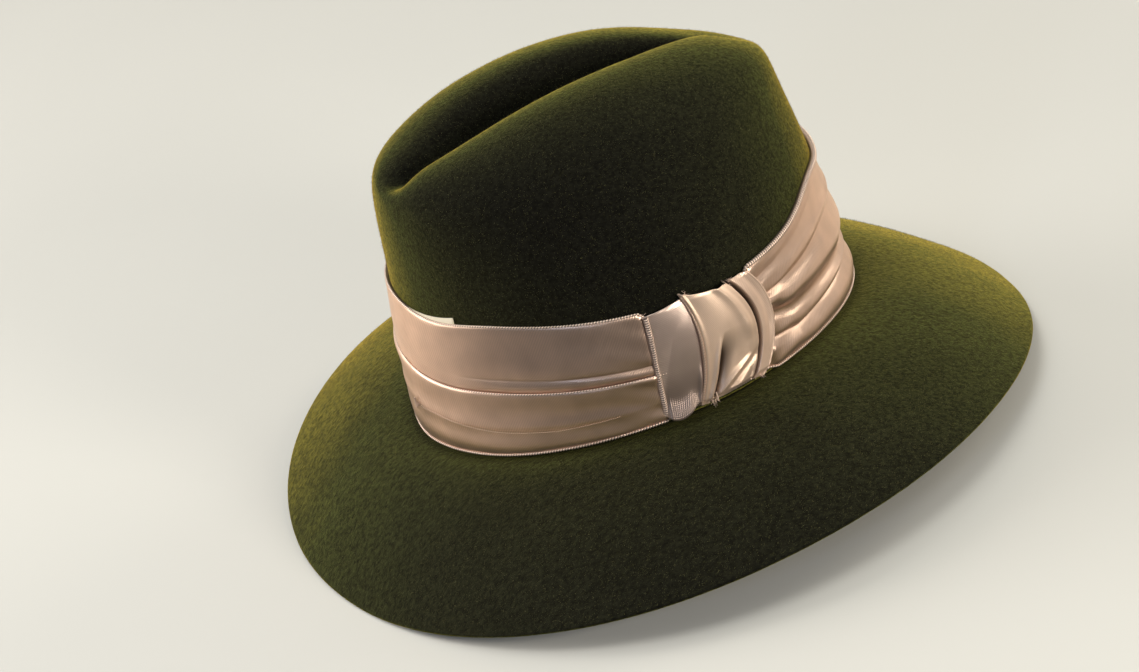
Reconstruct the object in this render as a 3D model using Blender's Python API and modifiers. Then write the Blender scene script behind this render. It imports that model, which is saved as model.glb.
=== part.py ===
"""A wide-brimmed felt hat with a centre dent, a draped satin band and a knot at the wearer's right.

Sizes are metres, +Z is up, +Y is the front of the hat and +X the wearer's right. The origin is on the
table, under the middle of the brim. Angles run round the crown from the back (0) over the wearer's
right (90) to the front (180).
"""

import math

import bpy
from mathutils import Vector

MM = 0.001
BLOCK = 1.03 * MM  # one unit of the hat block, drawn 197 mm long and graded up to head size 56

# Crown oval at the headline
HEAD_HALF_WIDTH = 86.0 * BLOCK
HEAD_HALF_LENGTH = 98.5 * BLOCK
HEAD_SQUARENESS = 1.8  # an ellipse is 2
HEAD_EGG = 0.083  # how much wider the oval is at the back
CROWN_SETBACK = 4.6 * BLOCK  # the brim is wider in front, so the crown stands behind its middle
HEADLINE_LIFT = 5.0 * BLOCK  # the headline is this much higher at the sides, and lower at both ends

# Brim
BRIM_HALF_WIDTH = 157.8 * BLOCK
BRIM_HALF_LENGTH = 167.5 * BLOCK
BRIM_EGG = 0.099
BRIM_DROP_MEAN = 33.5 * BLOCK
BRIM_DROP_SWING = 10.3 * BLOCK  # deeper by this at the front and back, shallower at the sides
BRIM_DROP_FLAT = 43.0 * BLOCK  # no part of the rim drops further, so it rests on two arcs
BRIM_FRONT_LIFT = 2.2 * BLOCK  # the front quarters stand this much higher than the back ones
BRIM_CURVE = 1.54  # power of the drop along the brim; 1 is a cone
BRIM_START = 3.5 * BLOCK  # flat shelf under the band, outside the crown
COLLAR_HEIGHT = 10.0 * MM

# Felt and cloth
CROWN_FELT = 1.6 * MM
COLLAR_FELT = 1.6 * MM
BRIM_FELT = 2.0 * MM
SATIN = 1.2 * MM
TAPE = 0.5 * MM
RIBBON = 0.7 * MM
GAP = 0.4 * MM
REST_CUT = 0.5 * MM  # how much the rim's underside is flattened where it rests

HEADLINE_Z = BRIM_DROP_FLAT + 0.72 * BRIM_FELT - REST_CUT

# Crown sections from the headline over the ridge to the bottom of the dent, in block units:
# half width, reach to the back, reach to the front, height at the back, at the sides, at the front,
# and how much of the saddles it has, where the dent runs out at the back and at the front
CROWN_SECTIONS = (
    (86.0, 98.5, 98.5, -3.8, 6.2, -3.8, 0.0),
    (86.5, 99.0, 95.5, 27.0, 29.0, 27.0, 0.0),
    (84.0, 94.8, 92.6, 60.0, 57.5, 60.0, 0.0),
    (72.0, 93.8, 85.0, 102.0, 88.0, 94.0, 0.0),
    (56.0, 91.5, 84.5, 112.0, 114.0, 106.5, 0.6),
    (33.5, 86.0, 69.0, 114.0, 129.5, 112.5, 1.0),
    (13.0, 78.0, 60.5, 113.0, 129.0, 115.5, 1.0),
    (10.0, 64.5, 53.0, 105.0, 113.0, 109.0, 0.7),
    (3.0, 50.0, 45.0, 94.0, 96.0, 96.0, 0.3),
)
RIDGE_SECTION = 5  # from this section on the oval is a plain ellipse
SADDLE_BACK = (6.5, 30)  # depth, and a power of the angle's cosine that is higher in a narrow saddle
SADDLE_FRONT = (3.5, 20)
CROWN_LEAN = 8.0  # the ridge on the wearer's right stands this much prouder at its front end

# Band
BAND_TOP = 57.7 * BLOCK
BAND_TOP_LIFT = 3.5 * BLOCK  # the top edge is this much higher at the back and front
BAND_BACK_DIP = (3.0 * MM, 13, 14)  # depth, angle in degrees and half width of the low place
BAND_FRONT_RISE = (4.5 * MM, 138, 14)  # the same for the place where the pleats fan upwards
BAND_FOOT = 3.8 * MM  # the band's bottom edge stands this far above the headline
BAND_STAND = 2.6 * MM  # how far the band's face stands off the felt
PLEAT_RISE = 1.5 * MM
PLEATS = (0.10, 0.32, 0.52, 0.90)  # heights of the front pleats, as parts of the band's height
WRAP = 2.4 * MM  # the knot's wrap is several layers of satin
WRAP_STAND = 2.4 * MM

SPOKES = 48
TAU = 2 * math.pi


def clear_scene():
    for old in list(bpy.data.objects):
        bpy.data.objects.remove(old, do_unlink=True)


def new_collection(name):
    collection = bpy.data.collections.new(name)
    bpy.context.scene.collection.children.link(collection)
    return collection


clear_scene()
PARTS = new_collection("felt_hat")
CUTTERS = new_collection("cutters")


def material(name, colour, roughness, sheen=0.0):
    made = bpy.data.materials.new(name)
    made.use_nodes = True
    made.diffuse_color = (*colour, 1)
    shader = made.node_tree.nodes["Principled BSDF"]
    shader.inputs["Base Color"].default_value = (*colour, 1)
    shader.inputs["Roughness"].default_value = roughness
    shader.inputs["Metallic"].default_value = 0.0
    shader.inputs["Sheen Weight"].default_value = sheen
    return made


FELT_CROWN = material("felt_crown", (0.030, 0.032, 0.014), 0.95, sheen=0.6)
FELT_BRIM = material("felt_brim", (0.036, 0.038, 0.016), 0.95, sheen=0.6)
SATIN_BAND = material("satin_band", (0.46, 0.33, 0.27), 0.35)
SATIN_TAB = material("satin_tab", (0.40, 0.29, 0.25), 0.40)
SATIN_WRAP = material("satin_wrap", (0.50, 0.36, 0.29), 0.35)
SATIN_STRIP = material("satin_strip", (0.52, 0.38, 0.31), 0.35)
CREAM_TAPE = material("cream_tape", (0.76, 0.68, 0.52), 0.60)
GROSGRAIN = material("grosgrain", (0.030, 0.028, 0.018), 0.70)
GROSGRAIN_TAB = material("grosgrain_tab", (0.034, 0.031, 0.020), 0.70)
FELT_THREAD = material("felt_thread", (0.045, 0.045, 0.022), 0.60)
RIBBON_THREAD = material("ribbon_thread", (0.060, 0.055, 0.030), 0.60)
SATIN_THREAD = material("satin_thread", (0.56, 0.42, 0.34), 0.50)


# ---- shape of the hat -------------------------------------------------------------------------


def oval(theta, half_width, back, front, squareness, egg):
    """One point of an oval round the crown's middle."""
    c, s = math.cos(theta), math.sin(theta)
    grow = (abs(c) ** squareness + abs(s) ** squareness) ** (-1 / squareness)
    c, s = c * grow, s * grow
    return half_width * s * (1 + egg * c), (front - back) / 2 - (front + back) / 2 * c


def section_point(index, theta):
    half_width, back, front, z_back, z_side, z_front, share = CROWN_SECTIONS[index]
    blend = min(1.0, index / RIDGE_SECTION)
    squareness = HEAD_SQUARENESS + (2 - HEAD_SQUARENESS) * blend
    egg = HEAD_EGG * (1 - index / (len(CROWN_SECTIONS) - 1))
    x, y = oval(theta, half_width, back, front, squareness, egg)
    ends = (z_back + z_front) / 2
    z = (ends + z_side) / 2 + (z_back - z_front) / 2 * math.cos(theta)
    z += (ends - z_side) / 2 * math.cos(2 * theta)
    depth, power = SADDLE_BACK if math.cos(theta) > 0 else SADDLE_FRONT
    z -= share * depth * abs(math.cos(theta)) ** power
    z += share * CROWN_LEAN * math.sin(theta) * max(0.0, -math.cos(theta)) ** 3
    return Vector((x * BLOCK, y * BLOCK - CROWN_SETBACK, z * BLOCK + HEADLINE_Z))


def crown_point(theta, s):
    """The felt's outer face; s counts sections up from the headline."""
    last = len(CROWN_SECTIONS) - 1
    k = min(int(s), last - 1)
    t = s - k
    near, far = section_point(k, theta), section_point(k + 1, theta)
    before = section_point(k - 1, theta) if k > 0 else 2 * near - far
    after = section_point(k + 2, theta) if k + 2 <= last else far
    weights = ((1 - t) ** 3, 3 * t**3 - 6 * t**2 + 4, -3 * t**3 + 3 * t**2 + 3 * t + 1, t**3)
    return sum((w * p for w, p in zip(weights, (before, near, far, after))), Vector()) / 6


def wall_point(theta, z, offset):
    """A point on the crown's wall at height z, pushed out from the felt's face by offset."""
    low, high = -0.5, 3.0
    for _ in range(24):
        middle = (low + high) / 2
        if crown_point(theta, middle).z < z:
            low = middle
        else:
            high = middle
    step = 0.02
    along = crown_point(theta + step, high) - crown_point(theta - step, high)
    out = Vector((along.y, -along.x, 0)).normalized()
    return crown_point(theta, high) + out * offset


def headline_z(theta):
    return HEADLINE_Z - HEADLINE_LIFT * math.cos(2 * theta)


def smooth(low, high, value):
    t = min(1.0, max(0.0, (value - low) / (high - low)))
    return t * t * (3 - 2 * t)


def swell(theta, height, at_deg, width_deg):
    """A smooth rise round one angle."""
    turn = (math.degrees(theta) + 180) % 360 - 180
    return height * math.exp(-(((turn - at_deg) / width_deg) ** 2))


def band_z(theta, v):
    """Height on the band; v is 0 at its bottom edge and 1 at its top edge."""
    low = headline_z(theta) + BAND_FOOT
    high = HEADLINE_Z + BAND_TOP + BAND_TOP_LIFT * math.cos(2 * theta)
    high += swell(theta, *BAND_FRONT_RISE) - swell(theta, *BAND_BACK_DIP)
    return low + (high - low) * v


def band_face(theta, v):
    """How far the band's outer face stands off the felt: flat folds at the back, pleats in front."""
    front = smooth(0.35, 0.65, 0.5 - 0.5 * math.cos(theta))
    pleats = sum(math.exp(-(((v - at) / 0.07) ** 2)) for at in PLEATS)
    flat = 0.5 * MM * math.sin(math.pi * min(1.0, max(0.0, v)))
    return BAND_STAND + (1 - front) * flat + front * PLEAT_RISE * pleats


# ---- mesh and curve helpers -------------------------------------------------------------------


def spokes(count=SPOKES):
    return [TAU * k / count for k in range(count)]


def arc(start_deg, end_deg, count):
    """Angles from one edge of a patch to the other."""
    return [math.radians(start_deg + (end_deg - start_deg) * k / count) for k in range(count + 1)]


def loft(name, rows, ring, look, extra_faces=()):
    """A surface through rows of points; a ring's rows close on themselves."""
    width = len(rows[0])
    points = [p for row in rows for p in row]
    faces = list(extra_faces)
    for i in range(len(rows) - 1):
        for j in range(width if ring else width - 1):
            k = (j + 1) % width
            a, b = i * width, (i + 1) * width
            faces.append((a + j, a + k, b + k, b + j))
    return mesh_object(name, points, faces, look)


def mesh_object(name, points, faces, look):
    mesh = bpy.data.meshes.new(name)
    mesh.from_pydata([tuple(p) for p in points], [], faces)
    mesh.materials.append(look)
    mesh.shade_smooth()
    made = bpy.data.objects.new(name, mesh)
    PARTS.objects.link(made)
    return made


def thicken(piece, thickness, side=-1.0):
    """Cloth or felt thickness, inwards from the modelled face when side is -1."""
    solid = piece.modifiers.new("thickness", "SOLIDIFY")
    solid.thickness = thickness
    solid.offset = side
    solid.use_even_offset = True
    return solid


def thread(name, points, radius, closed, look):
    curve = bpy.data.curves.new(name, "CURVE")
    curve.dimensions = "3D"
    curve.bevel_depth = radius
    curve.bevel_resolution = 1
    curve.use_fill_caps = True
    spline = curve.splines.new("POLY")
    spline.points.add(len(points) - 1)
    for point, place in zip(spline.points, points):
        point.co = (*place, 1)
    spline.use_cyclic_u = closed
    curve.materials.append(look)
    made = bpy.data.objects.new(name, curve)
    PARTS.objects.link(made)
    return made


# ---- felt -------------------------------------------------------------------------------------


def crown_felt():
    heights = [0, 0.5, 1, 1.5, 2, 2.5, 3, 3.4, 3.8, 4.2, 4.6, 5, 5.35, 5.7, 6.1, 6.6, 7.2, 8]
    rows = [[crown_point(t, s) for t in spokes()] for s in heights]
    # The last row is the bottom of the dent: its two long sides are joined across
    base = (len(rows) - 1) * SPOKES
    across = []
    for j in range(SPOKES // 2):
        left, right = (SPOKES - j) % SPOKES, (SPOKES - j - 1) % SPOKES
        corners = [base + left, base + j, base + j + 1, base + right]
        across.append(tuple(dict.fromkeys(corners)))
    thicken(loft("crown_felt", rows, True, FELT_CROWN, across), CROWN_FELT)


def brim_start(theta):
    """Where the brim leaves the flat shelf under the band."""
    x, y = oval(
        theta,
        HEAD_HALF_WIDTH + BRIM_START,
        HEAD_HALF_LENGTH + BRIM_START,
        HEAD_HALF_LENGTH + BRIM_START,
        HEAD_SQUARENESS,
        HEAD_EGG,
    )
    return Vector((x, y - CROWN_SETBACK, headline_z(theta)))


def brim_point(theta, t):
    """The brim's upper face; t is 0 at the shelf and 1 at the rim."""
    inner = brim_start(theta)
    outer_x = BRIM_HALF_WIDTH * math.sin(theta) * (1 + BRIM_EGG * math.cos(theta))
    outer_y = -BRIM_HALF_LENGTH * math.cos(theta)
    drop = min(BRIM_DROP_FLAT, BRIM_DROP_MEAN + BRIM_DROP_SWING * math.cos(2 * theta))
    if math.cos(theta) < 0:
        drop -= BRIM_FRONT_LIFT * math.sin(2 * theta) ** 2
    z = HEADLINE_Z + (inner.z - HEADLINE_Z) * (1 - t) - drop * t**BRIM_CURVE
    return Vector((inner.x + (outer_x - inner.x) * t, inner.y + (outer_y - inner.y) * t, z))


def brim_felt():
    collar_out = -(CROWN_FELT + GAP)
    rows = [[brim_point(t, u) for t in spokes()] for u in (1, 0.85, 0.7, 0.55, 0.4, 0.25, 0.1, 0)]
    # From the shelf the felt turns up into a collar that stands inside the crown
    for offset, rise in ((-0.3 * MM, 0), (-1.4 * MM, 0.3 * MM), (collar_out, 1.5 * MM)):
        rows.append([wall_point(t, headline_z(t) + rise, offset) for t in spokes()])
    rows.append([wall_point(t, headline_z(t) + COLLAR_HEIGHT, collar_out) for t in spokes()])
    piece = loft("brim_felt", rows, True, FELT_BRIM)
    thicken(piece, BRIM_FELT)
    bpy.ops.mesh.primitive_cube_add(size=1, location=(0, 0, -0.05))
    table = bpy.context.object
    table.name = "table_cutter"
    table.scale = (0.6, 0.6, 0.1)
    bpy.ops.object.transform_apply(location=False, rotation=False, scale=True)
    for holder in list(table.users_collection):
        holder.objects.unlink(table)
    CUTTERS.objects.link(table)
    table.hide_render = True
    table.display_type = "WIRE"
    cut = piece.modifiers.new("rest_flats", "BOOLEAN")
    cut.operation = "DIFFERENCE"
    cut.solver = "EXACT"
    cut.object = table


# ---- band -------------------------------------------------------------------------------------


def satin_band():
    heights = (0, 0.05, 0.10, 0.17, 0.25, 0.32, 0.42, 0.52, 0.62, 0.75, 0.84, 0.90, 0.96, 1)
    rows = [[wall_point(t, band_z(t, v), band_face(t, v)) for t in spokes()] for v in heights]
    thicken(loft("satin_band", rows, True, SATIN_BAND), SATIN)


def backing_tape():
    """The tape lies on the felt under the satin; its square end stands up behind the band."""
    end_deg, start_deg, columns = 20.5, -330.0, 47
    rows = []
    for v in (0.25, 0.4, 0.55, 0.7, 0.85, 1.0):
        row = []
        for t in arc(start_deg, end_deg, columns):
            show = max(0.0, 1 - (end_deg - math.degrees(t)) / 28)
            lift = (4.4 * show - 2.0) * MM if v == 1.0 else 0.0
            row.append(wall_point(t, band_z(t, v) + lift, GAP + TAPE))
        rows.append(row)
    thicken(loft("backing_tape", rows, False, CREAM_TAPE), TAPE)


def knot_patch(name, left, right, foot, top, stand, thickness, columns, look):
    """A piece of the knot between two edges given in degrees at each height of the band."""
    rows = []
    for k in range(13):
        v = foot + (top - foot) * k / 12
        edge, far = left(v), right(v)
        row = []
        for t in arc(edge, far, columns):
            face = band_face(t, min(1.0, max(0.0, v)))
            row.append(wall_point(t, band_z(t, v), face + stand + thickness))
        rows.append(row)
    thicken(loft(name, rows, False, look), thickness)


def wrap_left(v):
    return 78.8 + 13 * v - 10.2 * v * v


def wrap_right(v):
    return 92.4 + 23 * v - 22 * v * v


def strip_right(v):
    return 96.5 + 25 * v - 22 * v * v


def tab_left(v):
    return 69.7 + 2.2 * v - 0.9 * v * v


def tab_right(v):
    return 84.5


def strip_left(v):
    return wrap_right(v) + 0.6


def knot():
    knot_patch("knot_tab", tab_left, tab_right, -0.01, 0.99, 0.9 * MM, 1.0 * MM, 5, SATIN_TAB)
    knot_patch("knot_wrap", wrap_left, wrap_right, 0.015, 1.03, WRAP_STAND, WRAP, 6, SATIN_WRAP)
    knot_patch("knot_strip", strip_left, strip_right, 0.02, 0.985, 0.9 * MM, 2.6 * MM, 4, SATIN_STRIP)


def tack(name, theta_deg, v_low, v_high, stand):
    """A short bar of thread on the cloth; stand is how far the cloth lies above the band's face."""
    t = math.radians(theta_deg)
    radius = 0.3 * MM
    places = []
    for v in (v_low, (v_low + v_high) / 2, v_high):
        places.append(wall_point(t, band_z(t, v), band_face(t, v) + stand + GAP + radius))
    thread(name, places, radius, False, SATIN_THREAD)


# ---- inside -----------------------------------------------------------------------------------


def sweatband():
    offset = -(CROWN_FELT + GAP + COLLAR_FELT + 2 * GAP)
    rows = []
    for rise in (0.5 * MM, 12 * MM, 22 * MM, 32 * MM):
        rows.append([wall_point(t, headline_z(t) + rise, offset) for t in arc(0.6, 359.4, SPOKES)])
    thicken(loft("sweatband", rows, False, GROSGRAIN), RIBBON)
    tab_offset = offset - RIBBON - GAP
    tab_rows = []
    for rise in (8 * MM, 16 * MM, 24 * MM, 31 * MM):
        tab_rows.append([wall_point(t, headline_z(t) + rise, tab_offset) for t in arc(-5.5, 5.5, 4)])
    thicken(loft("sweatband_tab", tab_rows, False, GROSGRAIN_TAB), RIBBON)


def zigzag(low, high, offset, count):
    places = []
    for k in range(count):
        t = TAU * k / count
        places.append(wall_point(t, headline_z(t) + (low if k % 2 else high), offset))
    return places


def threads():
    felt_radius = 0.3 * MM
    thread(
        "headline_thread",
        zigzag(4.5 * MM, 8 * MM, GAP + felt_radius, 2 * SPOKES),
        felt_radius,
        True,
        FELT_THREAD,
    )
    ribbon_radius = 0.25 * MM
    ribbon_face = -(CROWN_FELT + GAP + COLLAR_FELT + 2 * GAP) - RIBBON
    thread(
        "sweatband_thread",
        zigzag(1.8 * MM, 4.6 * MM, ribbon_face - GAP - ribbon_radius, 2 * SPOKES),
        ribbon_radius,
        True,
        RIBBON_THREAD,
    )


crown_felt()
brim_felt()
satin_band()
backing_tape()
knot()
tack("knot_tack", 82.5, 0.05, 0.14, WRAP_STAND + WRAP)
tack("band_tack", 358, 0.20, 0.28, 0.0)
sweatband()
threads()
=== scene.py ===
"""Looks of a wide-brimmed velour felt hat with a centre dent and a draped satin band.

Angles run round the crown from the back (0) over the wearer's right (90) to the front (180).
Heights on the band run from 0 at its bottom edge to 1 at its top edge.
"""

import math

import bmesh
import bpy
import numpy as np
from mathutils import Matrix, Vector, noise


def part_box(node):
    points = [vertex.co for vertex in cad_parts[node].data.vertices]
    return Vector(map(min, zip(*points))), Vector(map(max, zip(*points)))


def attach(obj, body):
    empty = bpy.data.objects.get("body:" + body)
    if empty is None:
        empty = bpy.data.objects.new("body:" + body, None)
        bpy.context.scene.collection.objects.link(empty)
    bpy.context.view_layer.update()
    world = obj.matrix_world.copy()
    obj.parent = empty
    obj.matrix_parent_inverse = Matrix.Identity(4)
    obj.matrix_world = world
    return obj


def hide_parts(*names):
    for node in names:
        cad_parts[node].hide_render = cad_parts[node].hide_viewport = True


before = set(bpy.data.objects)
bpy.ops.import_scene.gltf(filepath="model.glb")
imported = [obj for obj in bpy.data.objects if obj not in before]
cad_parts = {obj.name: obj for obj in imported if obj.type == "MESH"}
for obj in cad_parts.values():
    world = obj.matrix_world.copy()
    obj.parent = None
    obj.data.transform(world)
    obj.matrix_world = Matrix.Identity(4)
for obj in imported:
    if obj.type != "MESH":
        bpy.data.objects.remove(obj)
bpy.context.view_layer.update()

MM = 0.001

# The hat block is drawn in its own units; the brim's real length says how long a unit is
BLOCK_BRIM_LENGTH = 335.0
BRIM_LOW, BRIM_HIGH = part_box("brim_felt")
BLOCK = (BRIM_HIGH.y - BRIM_LOW.y) / BLOCK_BRIM_LENGTH

HEAD_HALF_WIDTH = 86.0 * BLOCK
HEAD_HALF_LENGTH = 98.5 * BLOCK
HEAD_SQUARENESS = 1.8
HEAD_EGG = 0.083
CROWN_SETBACK = 4.6 * BLOCK
HEADLINE_LIFT = 5.0 * BLOCK

BRIM_HALF_WIDTH = 157.8 * BLOCK
BRIM_HALF_LENGTH = 167.5 * BLOCK
BRIM_EGG = 0.099
BRIM_DROP_MEAN = 33.5 * BLOCK
BRIM_DROP_SWING = 10.3 * BLOCK
BRIM_DROP_FLAT = 43.0 * BLOCK
BRIM_FRONT_LIFT = 2.2 * BLOCK
BRIM_CURVE = 1.54
BRIM_START = 3.5 * BLOCK
COLLAR_HEIGHT = 10.0 * MM

# Thicknesses, and the gap left between one piece and the next
BRIM_FELT = 2.0 * MM
CROWN_FELT = 1.6 * MM
RIBBON = 0.7 * MM
TAPE = 0.45 * MM
GAP = 0.4 * MM

# The lowest point of the crown's box is the front and back of the first section
CROWN_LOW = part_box("crown_felt")[0]
FIRST_SECTION_DIP = 3.8 * BLOCK
HEADLINE_Z = CROWN_LOW.z + FIRST_SECTION_DIP

# Crown sections, headline to the bottom of the dent: half width, reach to the back, reach to the
# front, height at the back, at the sides, at the front, and share of the saddles at the dent's ends
CROWN_SECTIONS = np.array(
    (
        (86.0, 98.5, 98.5, -3.8, 6.2, -3.8, 0.0),
        (86.5, 99.0, 95.5, 27.0, 29.0, 27.0, 0.0),
        (84.0, 94.8, 92.6, 60.0, 57.5, 60.0, 0.0),
        (72.0, 93.8, 85.0, 102.0, 88.0, 94.0, 0.0),
        (56.0, 91.5, 84.5, 112.0, 114.0, 106.5, 0.6),
        (33.5, 86.0, 69.0, 114.0, 129.5, 112.5, 1.0),
        (13.0, 78.0, 60.5, 113.0, 129.0, 115.5, 1.0),
        (10.0, 64.5, 53.0, 105.0, 113.0, 109.0, 0.7),
        (3.0, 50.0, 45.0, 94.0, 96.0, 96.0, 0.3),
    )
)
SHOULDER_SECTION = 3
RIDGE_SECTION = 5
LAST_SECTION = len(CROWN_SECTIONS) - 1
# Saddles at the dent's ends: depth, and how sharply they keep to the middle line
SADDLE_BACK = (6.5, 30)
SADDLE_FRONT = (3.5, 20)
# Tilt of the two ridges in front, where the wearer's right one stands higher
CROWN_LEAN = 8.0

BAND_TOP = 57.7 * BLOCK
BAND_TOP_LIFT = 3.5 * BLOCK
BAND_FOOT = 3.8 * MM
# A dip and a rise of the band's top edge: how far, then its angle and width in degrees
BAND_BACK_DIP = (3.0 * MM, 13, 14)
BAND_FRONT_RISE = (4.5 * MM, 138, 14)


# ---- shape of the hat, on arrays of angles ----------------------------------------------------


def smooth(low, high, value):
    t = np.clip((value - low) / (high - low), 0, 1)
    return t * t * (3 - 2 * t)


def ridge(value, at, width):
    return np.exp(-(((value - at) / width) ** 2))


def oval(theta, half_width, back, front, squareness, egg):
    c, s = np.cos(theta), np.sin(theta)
    grow = (np.abs(c) ** squareness + np.abs(s) ** squareness) ** (-1 / squareness)
    c, s = c * grow, s * grow
    return half_width * s * (1 + egg * c), (front - back) / 2 - (front + back) / 2 * c


def section_point(index, theta):
    width, back, front, z_back, z_side, z_front, share = np.moveaxis(CROWN_SECTIONS[index], -1, 0)
    squareness = HEAD_SQUARENESS + (2 - HEAD_SQUARENESS) * np.minimum(1.0, index / RIDGE_SECTION)
    x, y = oval(theta, width, back, front, squareness, HEAD_EGG * (1 - index / LAST_SECTION))
    ends = (z_back + z_front) / 2
    z = (ends + z_side) / 2 + (z_back - z_front) / 2 * np.cos(theta)
    z = z + (ends - z_side) / 2 * np.cos(2 * theta)
    depth, power = np.where(np.cos(theta)[..., None] > 0, SADDLE_BACK, SADDLE_FRONT).T
    z = z - share * depth.T * np.abs(np.cos(theta)) ** power.T
    z = z + share * CROWN_LEAN * np.sin(theta) * np.maximum(0, -np.cos(theta)) ** 3
    return np.stack((x * BLOCK, y * BLOCK - CROWN_SETBACK, z * BLOCK + HEADLINE_Z), -1)


def crown_point(theta, s):
    """The felt's outer face; s counts sections up from the headline."""
    theta, s = np.broadcast_arrays(theta, s)
    k = np.clip(np.floor(s).astype(int), 0, LAST_SECTION - 1)
    t = (s - k)[..., None]
    near, far = section_point(k, theta), section_point(k + 1, theta)
    before = section_point(np.maximum(k - 1, 0), theta)
    before = np.where((k == 0)[..., None], 2 * near - far, before)
    after = section_point(np.minimum(k + 2, LAST_SECTION), theta)
    return (
        (1 - t) ** 3 * before
        + (3 * t**3 - 6 * t**2 + 4) * near
        + (-3 * t**3 + 3 * t**2 + 3 * t + 1) * far
        + t**3 * after
    ) / 6


def wall_point(theta, z, offset):
    """Points on the crown's wall at height z, pushed out from the felt's face by offset."""
    theta, z, offset = np.broadcast_arrays(theta, z, offset)
    # The height lies between a little under the first section and the shoulder; halve until found
    low, high = np.full(theta.shape, -0.6), np.full(theta.shape, float(SHOULDER_SECTION))
    for _ in range(18):
        middle = (low + high) / 2
        under = crown_point(theta, middle)[..., 2] < z
        low = np.where(under, middle, low)
        high = np.where(under, high, middle)
    step = 0.02
    along = crown_point(theta + step, high) - crown_point(theta - step, high)
    out = np.stack((along[..., 1], -along[..., 0], np.zeros(theta.shape)), -1)
    out /= np.linalg.norm(out, axis=-1, keepdims=True)
    return crown_point(theta, high) + out * offset[..., None]


def headline_z(theta):
    return HEADLINE_Z - HEADLINE_LIFT * np.cos(2 * theta)


def turn_of(theta):
    """Degrees from the back, between -180 and 180."""
    return (np.degrees(theta) + 180) % 360 - 180


def swell(theta, height, at, width):
    return height * ridge(turn_of(theta), at, width)


def band_z(theta, v):
    low = headline_z(theta) + BAND_FOOT
    high = HEADLINE_Z + BAND_TOP + BAND_TOP_LIFT * np.cos(2 * theta)
    high = high + swell(theta, *BAND_FRONT_RISE) - swell(theta, *BAND_BACK_DIP)
    return low + (high - low) * v


def front_share(theta):
    """1 where the band is pleated, in front; 0 where it lies in flat folds, at the back."""
    return smooth(0.35, 0.65, 0.5 - 0.5 * np.cos(theta))


def brim_point(theta, t):
    """The brim's upper face; t is 0 at the shelf round the crown and 1 at the rim."""
    x, y = oval(
        theta,
        HEAD_HALF_WIDTH + BRIM_START,
        HEAD_HALF_LENGTH + BRIM_START,
        HEAD_HALF_LENGTH + BRIM_START,
        HEAD_SQUARENESS,
        HEAD_EGG,
    )
    y = y - CROWN_SETBACK
    outer_x = BRIM_HALF_WIDTH * np.sin(theta) * (1 + BRIM_EGG * np.cos(theta))
    outer_y = -BRIM_HALF_LENGTH * np.cos(theta)
    drop = np.minimum(BRIM_DROP_FLAT, BRIM_DROP_MEAN + BRIM_DROP_SWING * np.cos(2 * theta))
    drop = drop - np.where(np.cos(theta) < 0, BRIM_FRONT_LIFT * np.sin(2 * theta) ** 2, 0)
    z = HEADLINE_Z + (headline_z(theta) - HEADLINE_Z) * (1 - t) - drop * t**BRIM_CURVE
    return np.stack((x + (outer_x - x) * t, y + (outer_y - y) * t, z), -1)


# ---- mesh helpers -----------------------------------------------------------------------------


def spline(points, per_segment):
    """Catmull-Rom through points along the first axis."""
    padded = np.concatenate((2 * points[:1] - points[1:2], points, 2 * points[-1:] - points[-2:-1]))
    rows = []
    for k in range(1, len(padded) - 2):
        a, b, c, d = padded[k - 1 : k + 3]
        for step in range(per_segment):
            t = step / per_segment
            rows.append(
                b
                + 0.5 * t * (c - a)
                + t * t * (a - 2.5 * b + 2 * c - 0.5 * d)
                + t**3 * (1.5 * (b - c) + 0.5 * (d - a))
            )
    rows.append(points[-1])
    return np.array(rows)


def add_object(name, data):
    made = bpy.data.objects.new(name, data)
    bpy.context.scene.collection.objects.link(made)
    return made


def grid_object(name, grid, ring=True, tube=False, uv=None, look=None):
    """A mesh over a grid of points. A ring closes along its rows, a tube across them."""
    rows, columns = grid.shape[:2]
    row_count = rows if tube else rows - 1
    column_count = columns if ring else columns - 1
    i, j = np.meshgrid(np.arange(row_count), np.arange(column_count), indexing="ij")
    k, m = (j + 1) % columns, (i + 1) % rows
    faces = np.stack((i * columns + j, i * columns + k, m * columns + k, m * columns + j), -1)
    mesh = bpy.data.meshes.new(name)
    mesh.from_pydata(grid.reshape(-1, 3).tolist(), [], faces.reshape(-1, 4).tolist())
    if uv is not None:
        corners = np.stack((uv[i, j], uv[i, j + 1], uv[i + 1, j + 1], uv[i + 1, j]), 2)
        layer = mesh.uv_layers.new(name="cloth")
        layer.data.foreach_set("uv", corners.astype(np.float32).ravel())
    mesh.shade_smooth()
    if look is not None:
        mesh.materials.append(look)
    return add_object(name, mesh)


def cloth_uv(grid, ring):
    """Metres along the piece and across it, for the weave."""
    wide = np.concatenate((grid, grid[:, :1]), 1) if ring else grid
    along = np.linalg.norm(np.diff(wide.mean(0), axis=0), axis=1)
    u = np.concatenate(([0], np.cumsum(along)))
    tall = np.linalg.norm(np.diff(grid, axis=0), axis=2).mean(1)
    v = np.concatenate(([0], np.cumsum(tall), [np.sum(tall) + tall[-1]]))
    return np.stack(np.broadcast_arrays(u[None, :], v[:, None]), -1)


def mark(piece, name, values):
    """Stores a value at each point, which a material can read."""
    layer = piece.data.attributes.new(name, "FLOAT", "POINT")
    layer.data.foreach_set("value", values.astype(np.float32).ravel())


def ripple(points, size, seed):
    """Smooth noise between -1 and 1 at each point; size is its wavelength in metres."""
    flat = points.reshape(-1, 3) / size + seed * 7.31
    return np.array([noise.noise(p) for p in flat.tolist()]).reshape(points.shape[:-1])


def thicken(piece, thickness, side=-1.0):
    solid = piece.modifiers.new("thickness", "SOLIDIFY")
    solid.thickness = thickness
    solid.offset = side
    solid.use_even_offset = False


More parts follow.
